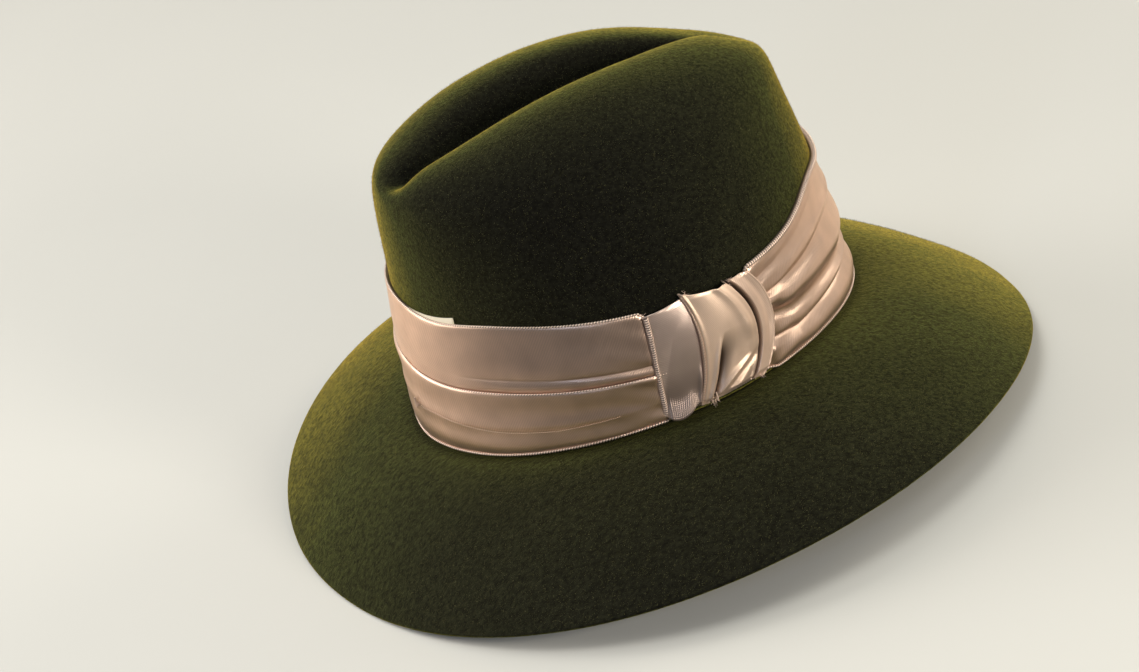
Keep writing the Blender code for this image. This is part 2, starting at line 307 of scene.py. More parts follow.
def place(piece, *nodes, slot=None):
    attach(piece, "root")
    if nodes:
        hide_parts(*nodes)


# ---- materials --------------------------------------------------------------------------------


class Nodes:
    """A small builder for one material's node tree."""

    def __init__(self, name):
        self.material = bpy.data.materials.new(name)
        self.material.use_nodes = True
        self.tree = self.material.node_tree
        self.shader = self.tree.nodes["Principled BSDF"]

    def link(self, source, target):
        if isinstance(source, bpy.types.NodeSocket):
            self.tree.links.new(source, target)
        else:
            target.default_value = source

    def set(self, name, value):
        self.link(value, self.shader.inputs[name])

    def node(self, kind, output=0, **inputs):
        made = self.tree.nodes.new(kind)
        for key, value in inputs.items():
            self.link(value, made.inputs[key])
        return made.outputs[output]

    def coordinates(self, which="Object"):
        return self.tree.nodes.new("ShaderNodeTexCoord").outputs[which]

    def attribute(self, name):
        made = self.tree.nodes.new("ShaderNodeAttribute")
        made.attribute_name = name
        return made.outputs["Fac"]

    def along(self, vector):
        made = self.tree.nodes.new("ShaderNodeSeparateXYZ")
        self.link(vector, made.inputs[0])
        return made.outputs["X"]

    def noise(self, vector, scale, detail=3.0, roughness=0.55):
        return self.node(
            "ShaderNodeTexNoise", Vector=vector, Scale=scale, Detail=detail, Roughness=roughness
        )

    def stretch(self, vector, scale, rotation=(0, 0, 0)):
        return self.node("ShaderNodeMapping", Vector=vector, Scale=scale, Rotation=rotation)

    def ramp(self, factor, stops):
        made = self.tree.nodes.new("ShaderNodeValToRGB")
        elements = made.color_ramp.elements
        while len(elements) < len(stops):
            elements.new(0.5)
        for element, (position, shade) in zip(elements, stops):
            element.position = position
            element.color = (*shade, 1)
        self.link(factor, made.inputs["Fac"])
        return made.outputs["Color"]

    def mix(self, factor, first, second, blend="MIX"):
        made = self.tree.nodes.new("ShaderNodeMix")
        made.data_type = "RGBA"
        made.blend_type = blend
        self.link(factor, made.inputs["Factor"])
        self.link(colour(first), made.inputs["A"])
        self.link(colour(second), made.inputs["B"])
        return made.outputs["Result"]

    def math(self, operation, first, second=0.0, third=0.0):
        made = self.tree.nodes.new("ShaderNodeMath")
        made.operation = operation
        for value, socket in zip((first, second, third), made.inputs):
            self.link(value, socket)
        return made.outputs[0]

    def bump(self, height, strength, distance, normal=None):
        made = self.tree.nodes.new("ShaderNodeBump")
        self.link(strength, made.inputs["Strength"])
        self.link(distance, made.inputs["Distance"])
        self.link(height, made.inputs["Height"])
        if normal is not None:
            self.link(normal, made.inputs["Normal"])
        return made.outputs["Normal"]


def colour(value):
    return (*value, 1) if isinstance(value, tuple) else value


def grey(level):
    return (level, level, level)


def felt_material(name, grain, coarse):
    """Velour felt with painted sheen: its colour follows the angle of view, nearly black olive seen
    straight on and gold-green where its nap is seen edge-on. Painted shade darkens it where it is marked.
    """
    n = Nodes(name)
    where = n.coordinates()
    clouds = n.noise(where, 26.0, 2.0)
    clumps = n.noise(n.stretch(where, (1.0, 0.7, 0.85), (0.3, 0.2, 0.5)), grain, 4.0, 0.72)
    hairs = n.noise(n.stretch(where, (1.0, 0.4, 0.7), (0.9, 0.4, 1.2)), grain * 2.6, 3.0, 0.7)
    # Painted sheen: the ramp below sets the colour by the angle of view, dark head-on and gold where the
    # surface turns edge-on
    facing = n.node("ShaderNodeLayerWeight", output=1, Blend=0.5)
    depth = n.ramp(
        facing,
        (
            (0.0, (0.0042, 0.0042, 0.0030)),
            (0.28, (0.0078, 0.0086, 0.0040)),
            (0.55, (0.021, 0.025, 0.0062)),
            (0.78, (0.086, 0.071, 0.0095)),
            (0.95, (0.250, 0.168, 0.018)),
        ),
    )
    pile = n.mix(n.ramp(clumps, ((0.40, grey(0)), (0.62, grey(1)))), grey(0.34), grey(1.95))
    shade = n.mix(n.ramp(clouds, ((0.3, grey(0)), (0.7, grey(1)))), grey(0.85), grey(1.15))
    body = n.mix(1.0, n.mix(1.0, depth, pile, "MULTIPLY"), shade, "MULTIPLY")
    tips = n.ramp(hairs, ((0.58, grey(0)), (0.72, grey(1))))
    body = n.mix(n.math("MULTIPLY", tips, 0.14 * coarse), body, (0.085, 0.085, 0.022))
    # Painted shade where the felt is marked, in under the band
    body = n.mix(n.math("MULTIPLY", n.attribute("painted_shade"), 0.9), body, (0.003, 0.003, 0.002))
    n.set("Base Color", body)
    n.set("Roughness", 0.95)
    n.set("Specular IOR Level", 0.12)
    n.set("Sheen Weight", 0.42)
    n.set("Sheen Roughness", 0.38)
    n.set("Sheen Tint", (0.60, 0.60, 0.13, 1))
    soft = n.bump(clumps, 0.75, 0.7 * MM * coarse)
    n.set("Normal", n.bump(hairs, 0.5, 0.3 * MM * coarse, soft))
    return n.material


def nap_material(name, tint):
    n = Nodes(name)
    n.set("Base Color", (*tint, 1))
    n.set("Roughness", 0.8)
    n.set("Sheen Weight", 0.3)
    n.set("Sheen Tint", (0.9, 0.8, 0.3, 1))
    return n.material


def satin_material(name, base, bias, pitch, metallic):
    """Bias-cut satin: fine diagonal ribs under long soft highlights, with painted shade where its mesh is
    marked for it.

    bias is the angle of its ribs in degrees, and pitch the distance from one rib to the next.
    """
    n = Nodes(name)
    turn = (0, 0, math.radians(bias))
    turned = n.node("ShaderNodeMapping", Vector=n.coordinates("UV"), Rotation=turn)
    wobble = n.math("MULTIPLY", n.noise(n.coordinates(), 70.0, 2.0), 3.0)
    phase = n.math("MULTIPLY_ADD", n.along(turned), 2 * math.pi / pitch, wobble)
    rib = n.math("MULTIPLY_ADD", n.math("SINE", phase), 0.5, 0.5)
    slub = n.noise(n.stretch(turned, (1600.0, 90.0, 1.0)), 1.0, 2.0)
    clouds = n.noise(n.coordinates(), 60.0, 2.0)
    tone = n.mix(n.ramp(clouds, ((0.3, grey(0)), (0.75, grey(1)))), grey(0.86), grey(1.12))
    body = n.mix(1.0, base, tone, "MULTIPLY")
    body = n.mix(n.math("MULTIPLY", rib, 0.24), body, tuple(c * 0.45 for c in base))
    # Painted shade where the cloth is marked, in the knot's folds and gaps
    body = n.mix(n.math("MULTIPLY", n.attribute("painted_shade"), 0.96), body, (0.030, 0.018, 0.014))
    satin_finish(n, body, slub, metallic)
    n.set("Normal", n.bump(n.math("MULTIPLY_ADD", slub, 0.7, rib), 0.35, 0.14 * MM))
    return n.material


def satin_finish(n, body, slub, metallic):
    n.set("Base Color", body)
    n.set("Roughness", n.math("MULTIPLY_ADD", slub, 0.14, 0.27))
    n.set("Metallic", metallic)
    n.set("Specular IOR Level", 0.6)
    n.set("Specular Tint", (1.0, 0.93, 0.85, 1))
    n.set("Anisotropic", 0.35)
    n.set("Sheen Weight", 0.12)
    n.set("Sheen Roughness", 0.35)
    n.set("Sheen Tint", (0.95, 0.85, 0.85, 1))


def roll_material(name, base, groove):
    """The same satin on a rolled edge, with painted shade between its ribs; groove is the share of its
    colour left there.
    """
    n = Nodes(name)
    slub = n.noise(n.coordinates(), 1400.0, 2.0)
    # Painted shade: the colour darkens between the ribs and stays full on their crests
    high = n.ramp(n.attribute("rib"), ((0.10, grey(0)), (0.65, grey(1))))
    body = n.mix(high, tuple(c * groove for c in base), base)
    body = n.mix(n.math("MULTIPLY", slub, 0.2), body, tuple(c * 0.6 for c in base))
    satin_finish(n, body, slub, 0.6)
    n.set("Normal", n.bump(slub, 0.2, 0.1 * MM))
    return n.material


def tape_material():
    n = Nodes("cream_tape")
    weave = n.noise(n.stretch(n.coordinates(), (1.0, 1.0, 3.0)), 1800.0, 2.0)
    n.set("Base Color", n.mix(weave, (0.70, 0.62, 0.46), (0.86, 0.79, 0.63)))
    n.set("Roughness", 0.7)
    n.set("Sheen Weight", 0.2)
    n.set("Normal", n.bump(weave, 0.3, 0.2 * MM))
    return n.material


def grosgrain_material(name, base):
    """Ribbon with fine ribs across its length."""
    n = Nodes(name)
    pitch = 1.1 * MM
    rib = n.math("SINE", n.math("MULTIPLY", n.along(n.coordinates("UV")), 2 * math.pi / pitch))
    fuzz = n.noise(n.coordinates(), 900.0, 3.0)
    body = n.mix(n.math("MULTIPLY_ADD", rib, 0.25, 0.5), tuple(c * 0.6 for c in base), base)
    n.set("Base Color", n.mix(n.math("MULTIPLY", fuzz, 0.3), body, tuple(c * 1.8 for c in base)))
    n.set("Roughness", 0.65)
    n.set("Sheen Weight", 0.15)
    n.set("Normal", n.bump(n.math("ADD", rib, fuzz), 0.35, 0.25 * MM))
    return n.material


def thread_material(name, base):
    """Twisted sewing thread."""
    n = Nodes(name)
    twist = n.noise(n.stretch(n.coordinates(), (1.0, 1.0, 2.5), (0.6, 0.4, 0.2)), 2600.0, 2.0)
    n.set("Base Color", n.mix(twist, tuple(c * 0.6 for c in base), tuple(c * 1.4 for c in base)))
    n.set("Roughness", 0.55)
    n.set("Normal", n.bump(twist, 0.5, 0.2 * MM))
    return n.material


def floor_material():
    """Pale paper to the eye; on the viewer's side it throws little light back up on the hat."""
    n = Nodes("backdrop")
    soft = n.noise(n.coordinates(), 3.0, 2.0)
    paper = n.mix(soft, (0.600, 0.610, 0.590), (0.640, 0.650, 0.630))
    towards = n.tree.nodes.new("ShaderNodeVectorMath")
    towards.operation = "DOT_PRODUCT"
    n.link(n.coordinates(), towards.inputs[0])
    towards.inputs[1].default_value = (TOWARDS_EYE.x, TOWARDS_EYE.y, 0)
    nearness = n.math("ADD", towards.outputs["Value"], 0.5)
    bounce = n.ramp(nearness, ((0.40, (0.78, 0.70, 0.61)), (0.72, grey(0.10))))
    seen = n.tree.nodes.new("ShaderNodeLightPath").outputs["Is Camera Ray"]
    n.set("Base Color", n.mix(seen, bounce, paper))
    n.set("Roughness", 0.9)
    n.set("Specular IOR Level", 0.1)
    return n.material


FELT_CROWN = felt_material("felt_crown", grain=700.0, coarse=1.0)
FELT_BRIM = felt_material("felt_brim", grain=560.0, coarse=1.2)
NAP_GREEN = nap_material("nap_green", (0.060, 0.062, 0.018))
NAP_GOLD = nap_material("nap_gold", (0.150, 0.145, 0.050))
SATIN_BAND = satin_material("satin_band", (0.73, 0.535, 0.43), bias=42, pitch=0.85 * MM, metallic=0.92)
# The knot's pieces are the band's own satin: the tab's darker colour is painted shade, and the wrap's and
# the strip's lighter colour is painted light
SATIN_TAB = satin_material("satin_tab", (0.58, 0.46, 0.41), bias=88, pitch=0.75 * MM, metallic=0.74)
SATIN_WRAP = satin_material("satin_wrap", (0.87, 0.66, 0.52), bias=62, pitch=0.60 * MM, metallic=0.60)
SATIN_STRIP = satin_material("satin_strip", (0.88, 0.66, 0.53), bias=55, pitch=0.70 * MM, metallic=0.50)
SATIN_ROLL = roll_material("satin_roll", (0.78, 0.62, 0.53), groove=0.16)
SATIN_WRAP_ROLL = roll_material("satin_wrap_roll", (0.76, 0.57, 0.46), groove=0.78)
SATIN_THREAD = thread_material("satin_thread", (0.66, 0.50, 0.41))


# ---- felt -------------------------------------------------------------------------------------


def crown_felt():
    theta = np.linspace(0, 2 * np.pi, 320, endpoint=False)
    wall = np.linspace(0, SHOULDER_SECTION, 40, endpoint=False)
    heights = np.concatenate((wall, np.linspace(SHOULDER_SECTION, LAST_SECTION, 75)))
    grid = crown_point(theta[None, :], heights[:, None])
    # A hand-blocked crown is never quite even
    slack = smooth(1.8, 3.2, heights)[:, None]
    centre = np.array((0, -CROWN_SETBACK, HEADLINE_Z + 60 * BLOCK))
    outward = grid - centre
    outward /= np.linalg.norm(outward, axis=-1, keepdims=True)
    dents = ripple(grid, 0.055, 1) * 0.9 * MM + ripple(grid, 0.024, 2) * 0.25 * MM
    grid = grid + outward * (dents * slack)[..., None]
    piece = grid_object("crown_velour", grid, look=FELT_CROWN)
    close_dent(piece.data, grid.shape)
    thicken(piece, CROWN_FELT)
    place(piece, "crown_felt", slot="felt_crown")
    outside = ("crown_felt", grid, smooth(1.75, 1.9, heights))
    nap("crown_nap", NAP_GREEN, *outside, count=26000, length=0.75 * MM, seed=11)
    nap("crown_nap_light", NAP_GOLD, *outside, count=12000, length=0.95 * MM, seed=12)


def nap(name, look, node, grid, keep, count, length, seed):
    """Short tapering fibres that stand in the felt; keep is the share of fibres each row has."""
    rng = np.random.default_rng(seed)
    corner, up, along = grid[:-1], grid[1:], np.roll(grid, -1, 1)[:-1]
    normal = np.cross(along - corner, up - corner)
    area = np.linalg.norm(normal, axis=-1)
    chance = area * keep[:-1, None]
    cell = rng.choice(chance.size, count, p=(chance / chance.sum()).ravel())
    i, j = np.unravel_index(cell, chance.shape)
    across, rise = rng.random((2, count, 1))
    root = corner[i, j] + (along - corner)[i, j] * across + (up - corner)[i, j] * rise
    out = normal[i, j] / area[i, j][:, None]
    brushed = 0.35 * (along - corner)[i, j] / np.sqrt(area[i, j])[:, None]
    tip = out * 0.75 + rng.normal(0, 0.42, (count, 3)) + brushed
    tip /= np.linalg.norm(tip, axis=1, keepdims=True)
    tip *= length * (0.45 + 0.9 * rng.random((count, 1)))
    side = np.cross(out, rng.normal(0, 1, (count, 3)))
    side /= np.linalg.norm(side, axis=1, keepdims=True)
    other = np.cross(out, side)
    radius = 0.045 * MM
    sunk = root - out * 0.12 * MM
    thirds = (0, 2 * math.pi / 3, 4 * math.pi / 3)
    ring = [sunk + radius * (math.cos(a) * side + math.sin(a) * other) for a in thirds]
    points = np.stack((*ring, root + tip), 1).reshape(-1, 3)
    first = 4 * np.arange(count)[:, None, None]
    faces = first + np.array(((0, 1, 3), (1, 2, 3), (2, 0, 3), (0, 2, 1)))
    mesh = bpy.data.meshes.new(name)
    mesh.from_pydata(points.tolist(), [], faces.reshape(-1, 3).tolist())
    mesh.materials.append(look)
    place(add_object(name, mesh), node)


def close_dent(mesh, shape):
    """Joins the two long sides of the last row, which is the bottom of the dent."""
    rows, columns = shape[:2]
    base = (rows - 1) * columns
    bm = bmesh.new()
    bm.from_mesh(mesh)
    bm.verts.ensure_lookup_table()
    for j in range(columns // 2):
        across = (columns - j) % columns
        ring = (base + across, base + j, base + j + 1, base + columns - j - 1)
        bm.faces.new([bm.verts[k] for k in dict.fromkeys(ring)])
    bm.to_mesh(mesh)
    bm.free()
    mesh.shade_smooth()


def shell(top, thickness):
    """Closes a ring-shaped sheet into a solid with rounded edges; its first row is the rim."""
    along = np.roll(top, -1, 1) - np.roll(top, 1, 1)
    across = np.gradient(top, axis=0)
    normal = np.cross(along, across)
    normal /= np.linalg.norm(normal, axis=-1, keepdims=True)
    bottom = top - normal * thickness

    def edge(row, inner):
        out = top[row] - top[inner]
        out /= np.linalg.norm(out, axis=-1, keepdims=True)
        return [
            top[row] - normal[row] * thickness * share + out * thickness * bulge
            for share, bulge in ((0.18, 0.20), (0.5, 0.30), (0.82, 0.20))
        ]

    far = edge(-1, -2)
    near = edge(0, 1)
    return np.concatenate((top, far, bottom[::-1], near[::-1]))


def brim_felt():
    theta = np.linspace(0, 2 * np.pi, 400, endpoint=False)
    reach = 1 - np.linspace(0, 1, 70) ** 1.15
    top = brim_point(theta[None, :], reach[:, None])
    waves = ripple(top, 0.085, 3) * 1.1 * MM + ripple(top, 0.03, 4) * 0.22 * MM
    fade = smooth(0.05, 0.5, reach) * (1 - 0.75 * smooth(0.85, 1.0, reach))
    top[..., 2] += waves * fade[:, None]
    outside = ("brim_felt", top, smooth(0.02, 0.06, reach))
    nap("brim_nap", NAP_GREEN, *outside, count=32000, length=0.8 * MM, seed=13)
    nap("brim_nap_light", NAP_GOLD, *outside, count=14000, length=1.0 * MM, seed=14)
    # The felt goes in under the band and turns up inside the crown as a collar
    collar = -(CROWN_FELT + GAP)
    shelf = ((1.5, 0), (0.5, 0), (-0.3, 0), (-1.4, 0.3))
    rows = [wall_point(theta, headline_z(theta) + rise * MM, out * MM) for out, rise in shelf]
    for share in (0.15, 0.4, 0.7, 1.0):
        rows.append(wall_point(theta, headline_z(theta) + share * COLLAR_HEIGHT, collar))
    grid = shell(np.concatenate((top, rows)), BRIM_FELT * 0.98)
    lowest = 0.15 * MM
    grid[..., 2] = np.maximum(grid[..., 2], lowest)
    piece = grid_object("brim_velour", grid, tube=True, look=FELT_BRIM)
    # Painted shade where the felt goes in under the band
    painted_shade = np.zeros(grid.shape[:2])
    painted_shade[: len(reach)] = smooth(0.045, 0.01, reach)[:, None]
    painted_shade[len(reach) : len(reach) + len(rows)] = 1
    mark(piece, "painted_shade", painted_shade)
    place(piece, "brim_felt", slot="felt_brim")


# ---- satin band -------------------------------------------------------------------------------

# Sections through the band as (height, millimetres off the felt), from the turned-in foot up the
# face to the turned-in top. Both have the same number of points, so one turns into the other on
# the way round.
FLAT_FOLDS = np.array(
    (
        (-0.035, 0.2), (-0.030, 1.0), (-0.020, 1.9), (-0.010, 2.6), (0.012, 3.1), (0.05, 3.3),
        (0.09, 3.15), (0.13, 2.85), (0.17, 2.75), (0.215, 2.85), (0.25, 2.65), (0.29, 2.4), (0.34, 2.35),
        (0.39, 2.55), (0.435, 2.85), (0.468, 3.05), (0.487, 2.8), (0.493, 2.2), (0.480, 1.7), (0.484, 1.4),
        (0.500, 1.8), (0.525, 2.3), (0.55, 2.35), (0.575, 2.0), (0.592, 1.6), (0.606, 1.9),
        (0.66, 2.2), (0.76, 2.1), (0.87, 1.9), (0.96, 1.9), (0.997, 1.45), (0.985, 0.1),
    )
)
PLEATED = np.array(
    (
        (-0.035, 0.2), (-0.028, 1.2), (-0.018, 2.2), (-0.006, 3.2), (0.02, 4.1), (0.055, 4.5),
        (0.095, 4.2), (0.135, 3.2), (0.172, 2.1), (0.190, 1.5), (0.200, 2.2), (0.222, 2.9), (0.255, 3.1),
        (0.295, 2.5), (0.33, 1.4), (0.355, 1.1), (0.39, 1.5), (0.435, 2.9), (0.485, 4.0), (0.53, 4.1),
        (0.580, 3.2), (0.625, 2.0), (0.660, 1.4), (0.672, 2.0), (0.715, 2.7), (0.765, 2.5),
        (0.82, 1.6), (0.87, 1.3), (0.92, 2.0), (0.972, 2.3), (0.998, 1.6), (0.985, 0.1),
    )
)


def under_knot(theta):
    """1 where the knot covers the band and presses its folds flat."""
    turn = turn_of(theta)
    return smooth(70.2, 72.5, turn) * smooth(101.5, 98.5, turn)


def tucked(theta, v):
    """The band's own edges draw in behind the knot."""
    return v + under_knot(theta) * (0.022 * smooth(0.2, 0.0, v) - 0.06 * smooth(0.8, 1.0, v))


# Climb of the folds by their height on the band: towards the back, into the knot, and in front
BACK_CLIMB = ((0, 0.05, 0.25, 0.33, 0.48, 0.60, 0.75, 1), (0, 0.02, 0.04, 0.03, 0.045, 0.05, 0.03, 0))
KNOT_CLIMB = (
    (0, 0.1, 0.29, 0.39, 0.55, 0.69, 0.8, 0.9, 1),
    (0, 0.05, 0.07, 0.07, 0.05, -0.01, 0, -0.02, 0),
)
FRONT_CLIMB = (
    (0, 0.22, 0.29, 0.39, 0.55, 0.69, 0.78, 0.87, 1),
    (0, 0.01, -0.03, -0.04, -0.05, 0.01, -0.03, 0.02, 0),
)


def fold_drift(theta, v):
    """How far the folds climb or sink on their way round the band."""
    turn = turn_of(theta)
    back = np.clip(1 - turn / 30, -1.4, 1.3) * smooth(-110, -60, turn)
    knot = np.clip((112 - turn) / 8, 0, 1.3) * (turn > 60)
    front = np.clip((turn - 118) / 20, -1, 1.4) * smooth(0, 30, turn) * smooth(180, 158, turn)
    share = front_share(theta)
    pleated = knot * np.interp(v, *KNOT_CLIMB) + front * np.interp(v, *FRONT_CLIMB)
    return (1 - share) * back * np.interp(v, *BACK_CLIMB) + share * pleated


def fold_height(theta, flat, pleated):
    """Where a line that is flat at one height and pleated at another runs on the band."""
    share = front_share(theta)
    v = flat * (1 - share) + pleated * share
    return v + fold_drift(theta, v)


def satin_band():
    theta = np.linspace(0, 2 * np.pi, 620, endpoint=False)[None, :]
    turn = np.degrees(theta)
    share = front_share(theta)
    control = FLAT_FOLDS[:, None, :] * (1 - share[..., None]) + PLEATED[:, None, :] * share[..., None]
    section = spline(control, 3)
    v, off = section[..., 0], section[..., 1]
    # The fold above the middle edge only opens towards the knot
    shut = 2.15
    closed = smooth(0.494, 0.502, v) * smooth(0.70, 0.62, v) * smooth(36, 14, turn_of(theta))
    off = off + (shut - off) * closed * (1 - share)
    # The knot presses the folds towards 1 mm off the felt
    pressed = under_knot(theta)
    off = (1.0 + (off - 1.0) * (1 - 0.78 * pressed)) * MM
    v = tucked(theta, v + fold_drift(theta, v))
    grid = wall_point(theta, band_z(theta, v), off)
    # Slow slack along the folds, and short puckers where the cloth is drawn under the knot
    crown_radius, stretched_height = 0.095, 0.035
    path = np.stack(np.broadcast_arrays(theta * crown_radius, v * stretched_height, 0 * v), -1)
    slack = ripple(path, 0.030, 5) * 0.40 * MM + ripple(path * (1, 2, 1), 0.016, 6) * 0.18 * MM
    gather = ridge(turn, 88, 26) * (1 - 0.7 * pressed)
    puckers = gather * 0.35 * MM * np.sin(v * 34 + 5 * np.sin(turn * 0.09))
    face = smooth(1.4 * MM, 2.2 * MM, off)
    out = grid - wall_point(theta, band_z(theta, v), 0)
    out /= np.linalg.norm(out, axis=-1, keepdims=True)
    grid = grid + out * ((slack + puckers) * face)[..., None]
    piece = grid_object("satin_folds", grid, tube=True, uv=cloth_uv(grid, True), look=SATIN_BAND)
    place(piece, "satin_band", slot="satin_band")


def rolled_edge(
    name, node, theta, v, off, radius, look, pitch=1.25 * MM, slant=1.0, relief=0.20, ring=False
):
    """A turned edge of bias-cut satin: a fine roll whose ribs run slantwise round it.

    off, how far its middle lies from the felt, and radius are in millimetres.
    """
    path = wall_point(theta, band_z(theta, v), off * MM)
    ahead = np.roll(path, -1, 0) - np.roll(path, 1, 0) if ring else np.gradient(path, axis=0)
    ahead /= np.linalg.norm(ahead, axis=1, keepdims=True)
    out = path - wall_point(theta, band_z(theta, v), 0)
    out /= np.linalg.norm(out, axis=1, keepdims=True)
    side = np.cross(ahead, out)
    run = np.concatenate(([0], np.cumsum(np.linalg.norm(np.diff(path, axis=0), axis=1))))
    if ring:
        whole = run[-1] + np.linalg.norm(path[0] - path[-1])
        pitch = whole / round(whole / pitch)
    angle = np.linspace(0, 2 * np.pi, 12, endpoint=False)[:, None]
    rib = np.sin(2 * np.pi * run[None, :] / pitch + slant * angle)
    spoke = np.cos(angle)[..., None] * out[None] + np.sin(angle)[..., None] * side[None]
    grid = path[None] + (radius * MM * (1 + relief * rib))[..., None] * spoke
    piece = grid_object(name, grid, ring=ring, tube=True, look=look)
    mark(piece, "rib", 0.5 + 0.5 * rib)
    place(piece, node)


def band_edges():
    """The rolled edges at the top, at the foot and at the middle fold of the band."""
    theta = np.linspace(0, 2 * np.pi, 2600, endpoint=False)
    share = front_share(theta)
    hidden = under_knot(theta)
    v = tucked(theta, 0.995 - 0.012 * share)
    off = 1.40 + 0.45 * share - 0.3 * hidden
    radius = 0.46 + 0.51 * share * (1 - hidden)
    rolled_edge("band_top_edge", "satin_band", theta, v, off, radius, SATIN_ROLL, ring=True)
    v = tucked(theta, fold_height(theta, -0.013, -0.010))
    off = 2.75 + 0.7 * share - 1.4 * hidden
    radius = np.full(theta.shape, 0.48)
    rolled_edge("band_foot_edge", "satin_band", theta, v, off, radius, SATIN_ROLL, relief=0.28, ring=True)
    theta = np.radians(np.linspace(-82, 74, 1100))
    v = fold_height(theta, 0.488, 0.0)
    off = np.full(theta.shape, 2.35)
    radius = np.full(theta.shape, 0.40)
    rolled_edge("band_fold_edge", "satin_band", theta, v, off, radius, SATIN_ROLL)


# The row of stitches: height on the band and millimetres off the felt, by degrees from the back
STITCH_HEIGHTS = ((1, 8, 15, 22, 28, 44, 60), (0.25, 0.256, 0.229, 0.205, 0.183, 0.155, 0.165))
STITCH_OFFSETS = ((1, 28, 44, 60), (3.45, 3.35, 3.05, 2.95))


def band_stitches():
    """A row of small stitches low on the band, at the back."""
    turn = np.arange(1.0, 60.0, 0.55)
    theta = np.radians(turn)
    v = np.interp(turn, *STITCH_HEIGHTS)
    face = wall_point(theta, band_z(theta, v), np.interp(turn, *STITCH_OFFSETS) * MM)
    # A stitch fills two thirds of its step
    ahead = np.gradient(face, axis=0) * 0.33
    rise = np.array((0, 0, 0.16 * MM))
    half_depth = 0.35 * MM
    mesh = bpy.data.meshes.new("stitches")
    points, faces = [], []
    for at, step in zip(face, ahead):
        out = np.cross(step, rise)
        out *= half_depth / np.linalg.norm(out)
        first = len(points)
        points += [at - step, at + rise + out * 0.5, at + step, at - rise + out * 0.5]
        points += [at + out, at - out]
        for a, b in ((0, 1), (1, 2), (2, 3), (3, 0)):
            faces += [(first + a, first + b, first + 4), (first + b, first + a, first + 5)]
    mesh.from_pydata([tuple(q) for q in points], [], faces)
    mesh.materials.append(SATIN_THREAD)
    mesh.shade_smooth()
    place(add_object("band_stitches", mesh), "satin_band")


# ---- knot -------------------------------------------------------------------------------------

# The next six give the sides of the three pieces, in degrees from the back at each height


def wrap_left(v):
    return 78.8 + 13 * v - 10.2 * v * v


def wrap_right(v):
    return 92.4 + 23 * v - 22 * v * v


def strip_left(v):
    return wrap_right(v) - 0.5


def strip_right(v):
    return 96.5 + 25 * v - 22 * v * v


def tab_left(v):
    return 69.9 + 2.2 * v - 0.9 * v * v


def tab_right(v):
    return wrap_left(v) + 1.3


def patch(name, left, right, foot, top, off, painted_shade, shape, thickness, look):
    """A piece of cloth between two edges, in degrees at each height.

    foot(p) and top(p) are its ends, off(p, v) its distance from the felt in millimetres, and the
    function after off gives its painted shade, dark in its folds and gaps and near its foot; p runs from 0
    to 1 across it.
    """
    along = np.linspace(0, 1, shape[0])[:, None]
    p = np.linspace(0, 1, shape[1])[None, :]
    v = foot(p) + (top(p) - foot(p)) * along
    theta = np.radians(left(v) + (right(v) - left(v)) * p)
    grid = wall_point(theta, band_z(theta, v), off(p, v) * MM)
    piece = grid_object(name, grid, ring=False, uv=cloth_uv(grid, False), look=look)
    mark(piece, "painted_shade", painted_shade(p, v))
    thicken(piece, thickness)
    return piece


def tab_foot(p):
    return 0.042 - 0.068 * ridge(p, 0.38, 0.33)


def tab_top(p):
    return 0.965 + 0.06 * p


def tab_off(p, v):
    """The flat tab: a foot that flares out over the brim in fine gathers."""
    lobe = smooth(0.0, 0.20, p) * smooth(0.90, 0.55, p)
    tip = v - tab_foot(p)
    flare = (0.6 + 3.4 * lobe) * np.exp(-((tip / (0.07 + 0.05 * lobe)) ** 2))
    under = -2.4 * smooth(0.022, 0.0, tip)
    pleats = 0.13 * np.sin(p * 150 - 90 * v * (p - 0.15)) * smooth(0.24, 0.06, tip) * lobe
    bow = 0.35 * np.sin(np.pi * p) + 0.22 * np.sin(2.2 * np.pi * v + 2.4 * p)
    curl = 0.9 * ridge(p, 0.86, 0.055) * smooth(0.42, 0.22, v)
    return 2.6 + flare + under + pleats + bow + curl - 0.4 * smooth(0.97, 1.0, v)


# Painted shade, darker towards the tab's foot and away from its sides
def tab_painted_shade(p, v):
    return 0.55 * smooth(0.62, 0.12, v) * smooth(0.0, 0.2, p) * smooth(0.98, 0.80, p)


def wrap_foot(p):
    return 0.002 + 0.022 * p


def wrap_top(p):
    return 1.058 - 0.062 * p + 0.012 * ridge(p, 0.10, 0.06)


def wrap_groove(p, v):
    """How far right of the sunken pleat's lip a point lies, and how far the pleat sinks there."""
    past = p - (0.215 + 0.16 * np.clip(v - 0.05, 0, 1) + 0.26 * smooth(0.30, 0.62, v) * (v - 0.30))
    wide = 0.055 + 0.26 * np.clip(v - 0.04, 0.02, 0.5)
    soft = np.exp(-((np.maximum(past, 0) / wide) ** 1.25))
    return past, smooth(0.62, 0.34, v) * np.where(past > 0, soft, smooth(-0.03, 0.0, past))


